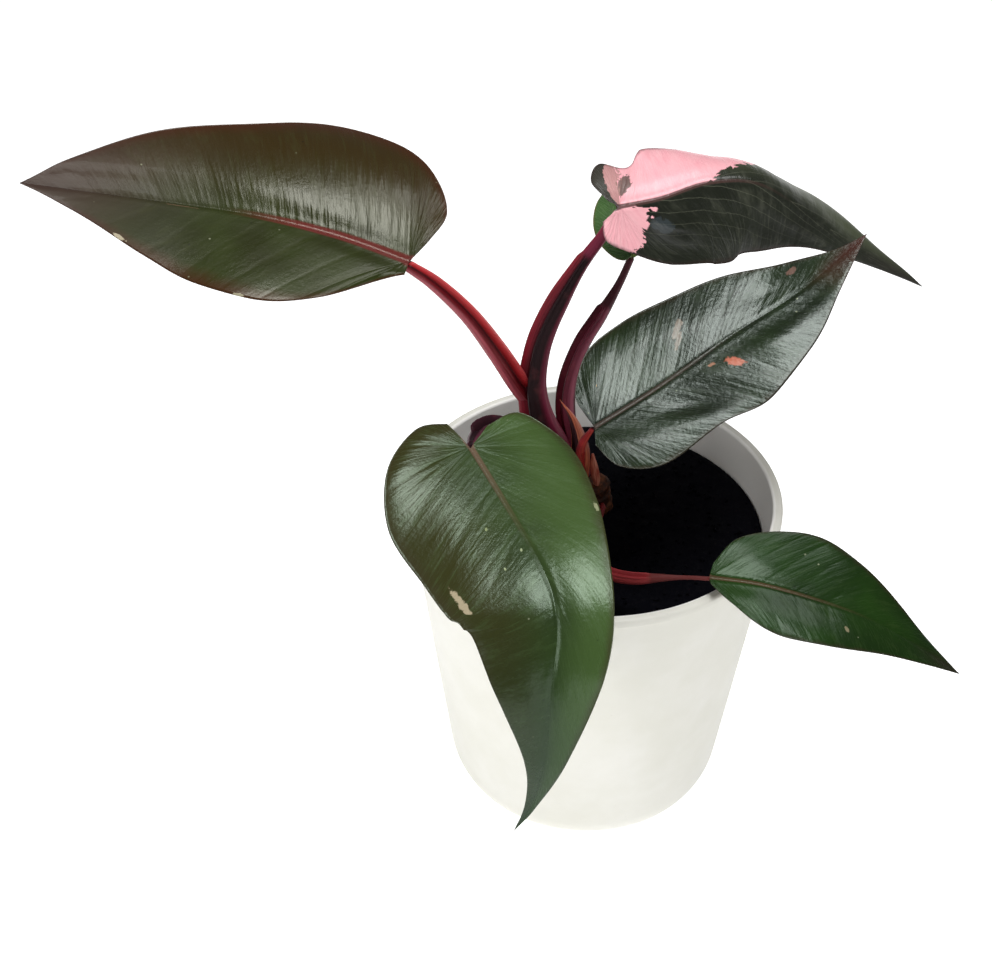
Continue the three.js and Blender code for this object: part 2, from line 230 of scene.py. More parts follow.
def makePiece(name, points, faces, finishes, uv=None, values=None, faceFinish=None, nodes=(),
              weld=2e-6):
    # a mesh object from whole arrays, in millimetres, with its doubles merged and its faces smooth
    mesh = bpy.data.meshes.new(name)
    mesh.from_pydata((np.asarray(points).reshape(-1, 3) * mm).tolist(), [], np.asarray(faces).tolist())
    if uv is not None:
        corner = np.zeros(len(mesh.loops), int)
        mesh.loops.foreach_get("vertex_index", corner)
        layer = mesh.uv_layers.new(name="skin")
        layer.data.foreach_set("uv", np.asarray(uv, float)[corner].astype(np.float32).ravel())
    for key, value in (values or {}).items():
        attribute = mesh.attributes.new(key, "FLOAT", "POINT")
        attribute.data.foreach_set("value", np.asarray(value, np.float32).ravel())
    for finish in finishes:
        mesh.materials.append(finish.material)
    if faceFinish is not None:
        mesh.polygons.foreach_set("material_index", np.asarray(faceFinish, np.int32))
    work = bmesh.new()
    work.from_mesh(mesh)
    bmesh.ops.remove_doubles(work, verts=work.verts, dist=weld)
    bmesh.ops.dissolve_degenerate(work, edges=work.edges, dist=weld / 2)
    work.to_mesh(mesh)
    work.free()
    mesh.polygons.foreach_set("use_smooth", np.ones(len(mesh.polygons), bool))
    mesh.update()
    piece = bpy.data.objects.new(name, mesh)
    bpy.context.scene.collection.objects.link(piece)
    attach(piece, "root")
    if nodes:
        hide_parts(*nodes)
    return piece


def shiftOnto(points, node):
    # moves points, in millimetres, so that the middle of their box is the middle of the CAD node's box
    low, high = (np.array(corner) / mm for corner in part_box(node))
    flat = points.reshape(-1, 3)
    return points + (low + high) / 2 - (flat.min(0) + flat.max(0)) / 2


# Camera, light and floor.

potLow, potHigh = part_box("pot")

view = {
    "aim": 38.65,                                   # degrees below the horizon
    "place": (-0.0386, -0.553, 0.597),
    "lens": 65.0,
}


def makeCamera():
    data = bpy.data.cameras.new("camera")
    data.lens = view["lens"]
    data.sensor_width = 36.0
    data.clip_start = 0.01
    camera = bpy.data.objects.new("camera", data)
    camera.location = Vector(view["place"]) + Vector((0, 0, potLow.z))
    camera.rotation_euler = (math.radians(90 - view["aim"]), 0, 0)
    bpy.context.scene.collection.objects.link(camera)
    bpy.context.scene.camera = camera


lamps = {
    "overhead": {"place": (0.07, -0.1, 1.15), "target": (0.0, 0.0, 0.2), "size": (0.32, 0.56), "power": 6.6},
    "overheadBack": {"place": (0.42, 0.32, 1.15), "target": (0.0, 0.0, 0.2), "size": (0.34, 0.42),
                     "power": 2.2},
    "leftFront": {"place": (-1.15, -0.7, 0.75), "target": (0.0, 0.0, 0.1), "size": (0.8, 0.8), "power": 8.5},
    "front": {"place": (0.35, -1.6, 0.35), "target": (0.0, 0.0, 0.1), "size": (1.2, 0.6), "power": 3.2},
}


def makeLamps():
    for name, lamp in lamps.items():
        data = bpy.data.lights.new(name, "AREA")
        data.shape = "RECTANGLE"
        data.size, data.size_y = lamp["size"]
        data.energy = lamp["power"]
        light = bpy.data.objects.new(name, data)
        light.location = lamp["place"]
        facing = Vector(lamp["target"]) - Vector(lamp["place"])
        light.rotation_euler = facing.to_track_quat("-Z", "Y").to_euler()
        bpy.context.scene.collection.objects.link(light)
    world = bpy.data.worlds.new("studio")
    world.use_nodes = True
    world.node_tree.nodes["Background"].inputs["Color"].default_value = (1, 1, 1, 1)
    world.node_tree.nodes["Background"].inputs["Strength"].default_value = 0.12
    bpy.context.scene.world = world
    bpy.context.scene.view_settings.view_transform = "Standard"


def makeFloor():
    fixed = {"Roughness": 0.9, "Emission Color": (1, 1, 1, 1), "Emission Strength": 0.66}
    finish = Finish("paleFloor", fixed)
    cloud = finish.noise(finish.objectPlace(), 3.0)
    finish.give(colour=finish.tint(cloud, (0.93, 0.93, 0.93, 1), (0.95, 0.95, 0.95, 1)))
    side = 6.0
    mesh = bpy.data.meshes.new("floor")
    corners = [(-side, -side, 0), (side, -side, 0), (side, side, 0), (-side, side, 0)]
    mesh.from_pydata([(x, y, potLow.z) for x, y, z in corners], [], [(0, 1, 2, 3)])
    mesh.materials.append(finish.material)
    floor = bpy.data.objects.new("floor", mesh)
    bpy.context.scene.collection.objects.link(floor)


makeCamera()
makeLamps()
makeFloor()
print("camera, light and floor")


# Pot.

pot = {
    "wall": 3.0,
    "floor": 6.0,
    "lipHeight": 3.5,
    "lipProud": 1.5,
    "corner": 22.0,
    "edge": 1.3,
    "base": 56.0,                                   # body radius carried down to the table
    "turns": 256,
}


def arc(centre, radius, first, last, count):
    # points on a circle from the first angle to the last, in degrees
    angle = np.radians(np.linspace(first, last, count))
    return np.stack([centre[0] + radius * np.cos(angle), centre[1] + radius * np.sin(angle)], -1)


def turnedPiece(name, outline, turns, finishes, nodes):
    # an outline of (radius, height) carried round the upright axis; it starts and ends on the axis
    angle = np.linspace(0, 2 * np.pi, turns, endpoint=False)
    radius, height = outline[:, 0][:, None], outline[:, 1][:, None]
    points = np.stack([radius * np.cos(angle), radius * np.sin(angle), height + 0 * angle], -1)
    faces = gridFaces(len(outline), turns, closed=True)[:, ::-1]
    return makePiece(name, points, faces, finishes, nodes=nodes)


def potFinish():
    # satin off-white, with painted light on the inner wall, which is nearer the axis at each height: its
    # colour is tinted towards near-white to brighten it where it lies in shade
    finish = Finish("potGlaze", {"Roughness": 0.5, "Specular IOR Level": 0.4})
    place = finish.objectPlace()
    mottle = finish.noise(place, 26.0, 4.0, 0.6)
    speckle = finish.noise(place, 420.0, 2.0)
    colour = finish.tint(finish.rise(mottle, 0.3, 0.75), shade("#e1e0d6"), shade("#e9e8e1"))
    colour = finish.tint(finish.rise(speckle, 0.72, 0.8) * 0.25, colour, shade("#c9c5b8"))
    x, y, z = (finish.add("ShaderNodeSeparateXYZ", {}, {0: place}, k) for k in range(3))
    slope = (potHigh.x - pot["lipProud"] * mm - pot["base"] * mm) / potHigh.z
    wall = (pot["base"] - pot["wall"] / 2) * mm + slope * z
    inside = 1.0 - finish.rise((x ** 2.0 + y ** 2.0) ** 0.5 - wall, -0.0005, 0.0005)
    # painted light: the inner wall is tinted towards near-white, brightening it where it is in shade
    colour = finish.tint(inside * 0.9, colour, shade("#fbfaf6"))
    finish.give(colour=colour, roughness=0.42 + 0.2 * finish.noise(place, 60.0, 3.0))
    finish.give(normal=finish.bump(finish.noise(place, 190.0, 3.0) + 0.6 * mottle, 0.00025, 0.35))
    return finish


def makePot():
    height = (potHigh.z - potLow.z) / mm
    rim = (potHigh.x - potLow.x) / 2 / mm
    lipBase = height - pot["lipHeight"]
    top = rim - pot["lipProud"]
    slope = (top - pot["base"]) / lipBase
    lean = math.degrees(math.atan(slope))
    secant = 1 / math.cos(math.radians(lean))
    innerTop = pot["base"] + slope * height - pot["wall"] * secant
    innerCorner = pot["corner"] - pot["wall"]
    outerX = pot["base"] + slope * pot["corner"] - pot["corner"] * secant
    innerZ = pot["floor"] + innerCorner
    innerX = pot["base"] - pot["wall"] * secant + slope * innerZ - innerCorner * secant
    edge = pot["edge"]
    soft = 0.5
    outline = np.vstack([
        [(0, 0)], arc((outerX, pot["corner"]), pot["corner"], -90, -lean, 28),
        [(top - 0.4 * slope, lipBase - 0.8)], arc((top + soft, lipBase - soft), soft, 180, 90, 5),
        arc((rim - soft, lipBase + soft), soft, -90, 0, 5),
        arc((rim - edge, height - edge), edge, 0, 90, 9),
        arc((innerTop + edge, height - edge), edge, 90, 180, 9),
        arc((innerX, innerZ), innerCorner, -lean, -90, 16), [(0, pot["floor"])],
    ])
    turnedPiece("flower_pot", outline, pot["turns"], [potFinish()], ["pot"])


makePot()
print("pot")


# Soil.

soil = {
    "belowRim": 15.0,
    "seed": 7,
    "lumps": 900,
    "crumbs": 420,
    "crumbSize": (0.9, 2.6),                        # millimetres across
    "turns": 240,
    "rings": 90,
    "inset": 0.4,                                   # from the edge of the CAD soil
    "sunk": 2.6,                                    # the dome's middle, below the top of the CAD soil
    "fall": 1.6,                                    # from the dome's middle to its edge
    "lumpiness": 1.2,
    "proud": 0.8,                                   # the highest a lump stands above the CAD soil
}


def soilFinish():
    finish = Finish("dampSoil", {"Specular IOR Level": 0.06})
    place = finish.objectPlace()
    grain = finish.noise(place, 520.0, 4.0, 0.6)
    patch = finish.noise(place, 60.0, 2.0)
    dark, pale = (0.0012, 0.0012, 0.003, 1), (0.0045, 0.0042, 0.006, 1)
    colour = finish.tint(finish.rise(grain, 0.45, 0.8), dark, pale)
    finish.give(colour=colour, roughness=0.75 + 0.2 * patch, normal=finish.bump(grain, 0.0006, 0.6))
    return finish


def makeSoil(finish):
    low, high = (np.array(corner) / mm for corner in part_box("potting_soil"))
    middle = (low + high) / 2
    radius = (high[0] - low[0]) / 2 - soil["inset"]
    turns = soil["turns"]
    angle = np.linspace(0, 2 * np.pi, turns, endpoint=False)
    ring = np.sqrt(np.linspace(0, 1, soil["rings"])) * radius
    x = middle[0] + ring[:, None] * np.cos(angle)
    y = middle[1] + ring[:, None] * np.sin(angle)
    rng = np.random.default_rng(soil["seed"])
    spot = np.sqrt(rng.random(soil["lumps"])) * radius
    turn = rng.random(soil["lumps"]) * 2 * np.pi
    width = rng.uniform(1.2, 4.5, soil["lumps"])
    lift = width * rng.uniform(0.12, 0.32, soil["lumps"])
    # the surface is a low dome with overlapping rounded lumps, each one a smooth hump
    bumps = np.zeros_like(x)
    for k in range(soil["lumps"]):
        away = (x - spot[k] * math.cos(turn[k])) ** 2 + (y - spot[k] * math.sin(turn[k])) ** 2
        bumps = np.maximum(bumps, lift[k] * np.exp(-away / width[k] ** 2))
    dome = high[2] - soil["sunk"] - soil["fall"] * (ring[:, None] / radius) ** 2
    z = dome + bumps * soil["lumpiness"] * smooth(0, 4, radius - ring[:, None] + 1)
    upper = np.stack([x, y, np.minimum(z, high[2] + soil["proud"])], -1)
    sides = []
    for depth, share in ((4, 0.999), (40, 0.93), (85, 0.86), (112, 0.78), (126, 0.6), (127, 0.0)):
        sides.append(np.stack([radius * share * np.cos(angle), radius * share * np.sin(angle),
                               0 * angle + max(high[2] - depth, low[2])], -1))
    points = np.concatenate([upper, np.array(sides)])
    faces = gridFaces(len(points), turns, closed=True)
    makePiece("soil_bed", points, faces, [finish], nodes=["potting_soil"])
    return upper


def makeCrumbs(finish, ground):
    # loose crumbs of soil: rough little fourteen-cornered stones of random size, turn and place
    rng = np.random.default_rng(soil["seed"] + 1)
    count = soil["crumbs"]
    corners = np.array([(i, j, k) for i in (-1, 1) for j in (-1, 1) for k in (-1, 1)], float)
    poles = np.vstack([np.eye(3), -np.eye(3)]) * 1.5
    shape = np.vstack([corners, poles])
    hull = bmesh.new()
    for corner in shape:
        hull.verts.new(corner)
    bmesh.ops.convex_hull(hull, input=hull.verts)
    hull.verts.index_update()
    faces = np.array([[v.index for v in face.verts] for face in hull.faces if len(face.verts) == 3])
    shape = np.array([v.co for v in hull.verts])
    hull.free()
    jitter = 1 + 0.22 * rng.standard_normal((count, len(shape), 1))
    size = rng.uniform(*soil["crumbSize"], (count, 1, 1)) * rng.uniform(0.5, 1.1, (count, 1, 3)) / 3.0
    spin = unit(rng.standard_normal((count, 4)))
    w, x, y, z = spin.T
    turn = np.stack([
        np.stack([1 - 2 * (y * y + z * z), 2 * (x * y - z * w), 2 * (x * z + y * w)], -1),
        np.stack([2 * (x * y + z * w), 1 - 2 * (x * x + z * z), 2 * (y * z - x * w)], -1),
        np.stack([2 * (x * z - y * w), 2 * (y * z + x * w), 1 - 2 * (x * x + y * y)], -1)], 1)
    stones = np.einsum("nij,nkj->nki", turn, shape * jitter * size)
    row = rng.integers(2, len(ground) - 2, count)
    column = rng.integers(0, ground.shape[1], count)
    stones += ground[row, column][:, None, :] + (0, 0, 0.3)
    allFaces = (faces[None] + len(shape) * np.arange(count)[:, None, None]).reshape(-1, 3)
    piece = makePiece("soil_crumbs", stones, allFaces, [finish], weld=1e-9)
    piece.data.polygons.foreach_set("use_smooth", np.zeros(len(piece.data.polygons), bool))


earth = soilFinish()
makeCrumbs(earth, makeSoil(earth))
print("soil")


# Stalks: stem, petioles and roots. Heights in their lists of points are above the soil.

soilTop = np.array([0, 0, potHigh.z / mm - soil["belowRim"]])
endRound = 0.7                                      # length of a stalk's rounded end, in its radii


def stalkSurface(points, radii, facing, section, rings=160, sides=64):
    # a ring of points round each step of the path. The radius is the list's smooth curve times the
    # section, a function of the share along and of the turn from the facing side.
    path = Path(np.asarray(points, float) + soilTop)
    share = np.linspace(0, 1, rings)
    share = np.concatenate([[0.0], share, [1.0]])
    centre, heading = path.at(share * path.length)
    up = np.asarray(facing, float)
    up = unit(up - (heading @ up)[:, None] * heading)
    side = np.cross(heading, up)
    turn = np.linspace(-np.pi, np.pi, sides, endpoint=False)
    radius = splineThrough(radii, share, 0.0)[:, :1]
    ends = np.minimum(share, 1 - share) * path.length
    cap = np.sqrt(1 - (1 - np.clip(ends[:, None] / (endRound * radius), 0, 1)) ** 2)
    reach = radius * cap * section(share[:, None], turn[None, :])
    around = up[:, None] * np.cos(turn)[None, :, None] + side[:, None] * np.sin(turn)[None, :, None]
    points = centre[:, None] + around * reach[..., None]
    uv = np.stack(np.broadcast_arrays(share[:, None], turn[None, :] / (2 * np.pi) + 0.5), -1)
    return points, gridFaces(len(share), sides, closed=True)[:, ::-1], uv.reshape(-1, 2)


stem = {
    "points": [(3, 13, -38), (3, 13, -17.2), (2, 12, 1), (0, 12, 14)],
    "radii": [5.2, 7.15, 6.8, 7.3, 6.4, 6.5],
    "nodes": (0.68, 0.76, 0.84, 0.92),              # where the rings of old leaves sit
    "ringLift": 0.07,
    "ringDip": 0.05,                                # the hollow just beyond each ring
    "dipBeyond": 0.022,
    "ringWidth": 0.012,
}


def stemFinish():
    finish = Finish("stemBark", {"Specular IOR Level": 0.35})
    along = finish.skinPlace()[0]
    place = finish.objectPlace()
    band = finish.noise(finish.vector(along * 60.0, 0.0), 1.0, 3.0)
    blotch = finish.noise(place, 260.0, 4.0, 0.6)
    colour = finish.tint(finish.rise(blotch, 0.35, 0.7), shade("#2e1408"), shade("#7c4422"))
    colour = finish.tint(finish.rise(band, 0.55, 0.7) * 0.6, colour, shade("#1c0b06"))
    finish.give(colour=colour, roughness=0.5 + 0.25 * blotch, normal=finish.bump(blotch + band, 0.0005, 0.6))
    return finish


def makeStem():
    def section(share, turn):
        width = stem["ringWidth"]
        rings = sum(stem["ringLift"] * bell(share, at, width)
                    - stem["ringDip"] * bell(share, at + stem["dipBeyond"], width) for at in stem["nodes"])
        return 1 + rings + 0.025 * np.sin(3 * turn + 9 * share) + 0.02 * np.sin(7 * turn - 23 * share)
    points, faces, uv = stalkSurface(stem["points"], stem["radii"], (0, -1, 0.2), section)
    makePiece("stem", points, faces, [stemFinish()], uv=uv, nodes=["main_stem"])


makeStem()

petioles = {
    "petiole_left": {
        "points": [(-9, 13, 5), (-10.5, 16, 12), (-16, 20, 28), (-22.5, 21, 42), (-30, 17, 57),
                   (-38, 12.5, 74.5), (-48.6, 9, 93.5), (-60.8, 8, 107.8), (-71.5, 7.6, 116.5)],
        "radii": [3.2, 3.8, 4.4, 4.4, 4.3, 4.0, 3.5, 3.0, 2.2],
        "facing": (0.2, -0.75, 0.65), "sheath": 0.93, "wing": 0.12,
        # the pale stop at 0.33 is a painted highlight on the darker side, and the dark stops at 0.42 and 0.49
        # are painted shade in the channel
        "round": [(0.0, "#5a1016"), (0.2, "#8a1c24"), (0.33, "#a8505a"), (0.42, "#6a121a"), (0.49, "#30070c"),
                  (0.55, "#b4242a"), (0.66, "#de5c5e"), (0.8, "#cc3a3e"), (1.0, "#5a1016")],
        "slot": "petiole_red",
    },
    "petiole_right_high": {
        "points": [(-4, 16, 5), (-8, 17, 10), (-15, 15, 26), (-21.5, 14.5, 41), (-24, 17, 55),
                   (-22.5, 20, 69), (-19, 23, 80), (-13, 25, 93), (-6, 26, 106), (1, 26.5, 117),
                   (5, 27.5, 124.5)],
        "radii": [4.0, 5.2, 6.4, 6.2, 5.3, 4.8, 4.5, 4.0, 2.9, 2.3, 1.9],
        "facing": (-0.8, -0.55, 0.2), "sheath": 0.86, "wing": 0.34, "beyond": "#6c1a34",
        # the magenta stops at 0.79 and 0.88 are a painted highlight along the right edge
        "round": [(0.0, "#2c0a14"), (0.34, "#3c0a16"), (0.42, "#84202e"), (0.5, "#4a0c18"), (0.57, "#160206"),
                  (0.71, "#1c0308"), (0.79, "#7a1c3a"), (0.88, "#7a1c3a"), (1.0, "#2c0a14")],
        "slot": "petiole_maroon",
    },
    "petiole_back": {
        "points": [(-2, 13, 12), (-4, 15, 16), (-8, 19, 27), (-10.5, 24, 38), (-9.5, 29, 50), (-4.6, 33, 64),
                   (2.6, 36, 76), (9.5, 40, 88), (14, 43.5, 98)],
        "radii": [2.8, 3.2, 3.6, 3.6, 3.4, 3.0, 2.5, 1.6, 1.4],
        "facing": (-0.8, -0.5, 0.2), "sheath": 0.77, "wing": 0.4, "beyond": "#341418",
        "round": [(0.0, "#240811"), (0.38, "#2a0812"), (0.45, "#5a1626"), (0.55, "#5c1a2a"),
                  (0.66, "#6e2a3c"), (0.76, "#a2586a"), (0.84, "#4c1424"), (1.0, "#240811")],
        "slot": "petiole_maroon",
    },
    "petiole_right": {
        "points": [(-1, 8, 9), (-2, 4, 14), (-4.5, 1, 24), (-6, -4, 36), (-5.5, -10, 48), (-2.8, -20, 62)],
        "radii": [1.5, 1.7, 1.8, 1.7, 1.4, 0.9],
        "facing": (0.3, -0.9, 0.4), "sheath": 0.6, "wing": 0.25,
        "round": [(0.0, "#5c1418"), (0.3, "#9c2c30"), (0.46, "#b0403a"), (0.5, "#b84c40"), (0.56, "#a8302c"),
                  (0.7, "#6c141c"), (1.0, "#5c1418")],
        "slot": "petiole_red",
    },
    "petiole_front": {
        "points": [(-6, 6, 3), (-8, 3, 6), (-16, -1, 22), (-27, 0, 36), (-37, 1, 44), (-43.5, -4, 48),
                   (-46.5, -11, 50), (-47.8, -18.8, 52.5)],
        "radii": [2.6, 3.2, 3.8, 5.0, 5.6, 5.0, 3.4, 2.0],
        "facing": (-0.2, -0.2, 1.0), "sheath": 0.86, "wing": 0.5,
        # the paler stops at 0.38 and 0.62 are painted highlights along the folds beside the wings, and the
        # darkest stops at 0.44 and 0.5 are painted shade in the channel
        "round": [(0.0, "#1c0a12"), (0.28, "#33121e"), (0.38, "#6a3446"), (0.44, "#240a14"), (0.5, "#16060c"),
                  (0.58, "#2c0e1a"), (0.62, "#5c2c3c"), (0.74, "#2c101a"), (1.0, "#1c0a12")],
        "slot": "petiole_maroon",
    },
    "petiole_right_low": {
        "points": [(3, 5, 3), (3, 2, 5), (-1, -14, 6), (-3, -32, 10), (3, -46, 14), (12, -53, 17),
                   (23, -56, 20), (33, -57, 21), (41, -58.2, 21.4)],
        "radii": [2.2, 2.3, 2.3, 2.3, 2.4, 2.4, 2.0, 0.9, 0.8],
        "facing": (0.0, -0.2, 1.0), "sheath": 0.76, "wing": 0.2, "beyond": "#4c2622",
        "round": [(0.0, "#5c1c20"), (0.3, "#b04a4c"), (0.45, "#8a2c30"), (0.55, "#8a2c30"), (0.7, "#a03c3e"),
                  (1.0, "#5c1c20")],
        "slot": "petiole_red",
    },
}


def petioleFinish(name, petiole):
    # colours run round the stalk, broken up by long streaks; the channel is at the middle of the ramp. Some
    # ramps also hold painted light: pale stops as painted highlights and dark stops as painted shade in the
    # channel.
    finish = Finish(name, {"Specular IOR Level": 0.16})
    along, turn = finish.skinPlace()
    place = finish.objectPlace()
    streak = finish.noise(finish.vector(along * 5.0, turn * 40.0), 1.0, 3.0, 0.6)
    blotch = finish.noise(place, 130.0, 3.0)
    stops = [(at, shade(code)) for at, code in petiole["round"]]
    colour = finish.add("ShaderNodeValToRGB", {"stops": stops}, {"Fac": turn + (streak - 0.5) * 0.08})
    colour = finish.tint(finish.rise(streak, 0.35, 0.75) * 0.45, colour, shade("#1c0508"))
    colour = finish.tint(finish.rise(blotch, 0.55, 0.8) * 0.12, colour, shade("#b85a60"))
    if "beyond" in petiole:
        bare = finish.rise(along, petiole["sheath"] - 0.01, petiole["sheath"] + 0.02)
        colour = finish.tint(bare * 0.75, colour, shade(petiole["beyond"]))
    finish.give(colour=colour, roughness=0.32 + 0.25 * streak)
    finish.give(normal=finish.bump(streak + 0.4 * blotch, 0.0003, 0.5))
    return finish


channelShape = {
    "shallow": 0.1,                                 # depth beyond the sheath, in radii
    "deeper": 0.36,                                 # what the sheath adds to it
    "width": 0.36,
    "wingTurn": 0.6,
    "wingWidth": 0.16,
}


def petioleSection(sheath, wing):
    def section(share, turn):
        # a channel on the facing side, deep as far as the sheath goes and shallow beyond, between two
        # thin wings that stand up most just before the sheath ends
        inSheath = 1 - smooth(sheath - 0.012, sheath + 0.012, share)
        rise = wing * (0.55 + 0.45 * smooth(sheath - 0.25, sheath, share))
        depth = channelShape["shallow"] + channelShape["deeper"] * inSheath
        channel = depth * bell(turn, 0, channelShape["width"])
        wingTurn, wingWidth = channelShape["wingTurn"], channelShape["wingWidth"]
        wings = inSheath * rise * (bell(turn, wingTurn, wingWidth) + bell(turn, -wingTurn, wingWidth))
        ribs = 0.012 * np.sin(11 * turn + 3 * share)
        return 1 - channel + wings + ribs
    return section


def makePetioles():
    for name, petiole in petioles.items():
        section = petioleSection(petiole["sheath"], petiole["wing"])
        points, faces, uv = stalkSurface(petiole["points"], petiole["radii"], petiole["facing"], section)
        finish = petioleFinish("skin_" + name, petiole)
        makePiece("stalk_" + name, points, faces, [finish], uv=uv, nodes=[name])


makePetioles()


def rootFinish():
    finish = Finish("rootSkin", {"Specular IOR Level": 0.2})
    place = finish.objectPlace()
    grain = finish.noise(place, 300.0, 4.0, 0.6)
    finish.give(colour=finish.tint(grain, shade("#8a6a48"), shade("#cbb38e")), roughness=0.7 + 0.2 * grain)
    finish.give(normal=finish.bump(grain, 0.0004, 0.5))
    return finish


roots = rootFinish()
for name in ("root_1", "root_2", "root_3", "root_4"):
    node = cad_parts[name]
    node.data.materials.clear()
    node.data.materials.append(roots.material)
print("stem, petioles and roots")


# Cataphyll: the open, pointed sheath at the stem's top.

cataphyll = {
    "points": [(-3.5, 9, 13), (-4, 7, 24), (-5, 6, 34), (-8.5, 6.5, 45), (-14, 8, 55)],
    "halfWidth": [3.0, 4.2, 4.8, 3.4, 0.25],
    "wrap": [150, 120, 95, 75, 40],                 # degrees round the section
    "facing": (-0.95, -0.3, 0.1),                   # the open side
    "thickness": 0.5,
    "rows": 70,
    "columns": 33,
}


def cataphyllFinish(name, deep, bright):
    finish = Finish(name, {"Specular IOR Level": 0.4})
    along, across = finish.skinPlace()
    streak = finish.noise(finish.vector(along * 3.0, across * 24.0), 1.0, 3.0)
    colour = finish.tint(finish.rise(streak, 0.3, 0.7), shade(deep), shade(bright))
    finish.give(colour=colour, roughness=0.35 + 0.3 * streak, normal=finish.bump(streak, 0.0003, 0.5))
    return finish


def makeCataphyll():
    # each row is an arc of the given half width and wrap, open on the facing side
    rows, columns = cataphyll["rows"], cataphyll["columns"]
    path = Path(np.asarray(cataphyll["points"], float) + soilTop)
    share = np.linspace(0, 1, rows)
    centre, heading = path.at(share * path.length)
    up = np.asarray(cataphyll["facing"], float)
    up = unit(up - (heading @ up)[:, None] * heading)
    side = np.cross(heading, up)
    half = splineThrough(cataphyll["halfWidth"], share, 0.0)
    wrap = np.radians(between(cataphyll["wrap"], share))[:, None]
    turn = np.linspace(-1, 1, columns)[None, :] * wrap
    radius = half / np.sin(np.minimum(wrap, np.pi / 2))
    def sheet(inset):
        level = (radius - inset) * np.sin(turn)
        depth = -(radius - inset) * np.cos(turn) + radius * 0.4
        return centre[:, None] + side[:, None] * level[..., None] + up[:, None] * depth[..., None]
    outer, inner = sheet(0.0), sheet(np.minimum(cataphyll["thickness"], half * 0.5))
    points = np.concatenate([outer.reshape(-1, 3), inner.reshape(-1, 3)])
    faces, kinds = shellFaces(rows, columns)
    uv = np.stack(np.meshgrid(share, np.linspace(0, 1, columns), indexing="ij"), -1).reshape(-1, 2)
    finishes = [cataphyllFinish("cataphyllOutside", "#8e2c1c", "#e2805a"),
                cataphyllFinish("cataphyllInside", "#3c1c24", "#8a5a60")]
    makePiece("dry_sheath", points, faces, finishes, uv=np.vstack([uv, uv]), faceFinish=kinds,
              nodes=["cataphyll"])


def shellFaces(rows, columns):
    # faces of two like sheets, one above the other, and the wall round their four sides.
    # The second list says which sheet a face belongs to.
    sheet = gridFaces(rows, columns)
    count = rows * columns
    grid = np.arange(count).reshape(rows, columns)
    loop = np.concatenate([grid[0, :], grid[1:, -1], grid[-1, -2::-1], grid[-2:0:-1, 0]])
    ahead = np.roll(loop, -1)
    wall = np.stack([loop, ahead, ahead + count, loop + count], -1)
    faces = np.concatenate([sheet, sheet[:, ::-1] + count, wall[:, ::-1]])
    kinds = np.concatenate([np.zeros(len(sheet)), np.ones(len(sheet)), np.zeros(len(wall))])
    return faces, kinds


makeCataphyll()


# Bud: the swelling pink tip beside the top of the stem.

bud = {
    "points": [(1.8, 8, 13), (1.2, 7, 18), (0.2, 6.5, 24), (-0.4, 6.5, 30)],
    "radii": [1.2, 1.8, 1.5, 0.5],
}


def makeBud():
    def section(share, turn):
        return 1 + 0.06 * np.sin(2 * turn) + 0.03 * np.sin(5 * turn + 8 * share)
    points, faces, uv = stalkSurface(bud["points"], bud["radii"], (0, -1, 0.2), section, rings=70, sides=40)
    finish = cataphyllFinish("budSkin", "#b04432", "#e89a80")
    makePiece("stem_bud", points, faces, [finish], uv=uv)


makeBud()
print("cataphyll and bud")


# Leaves.

backHalf = {
    "fold": [8, 5], "curl": [20, 20],
    "margin": [(-0.04, 0.04), (-0.06, 0.12), (0.07, 0.2), (0.35, 0.23), (0.65, 0.17), (0.87, 0.07), (1, 0)],
}

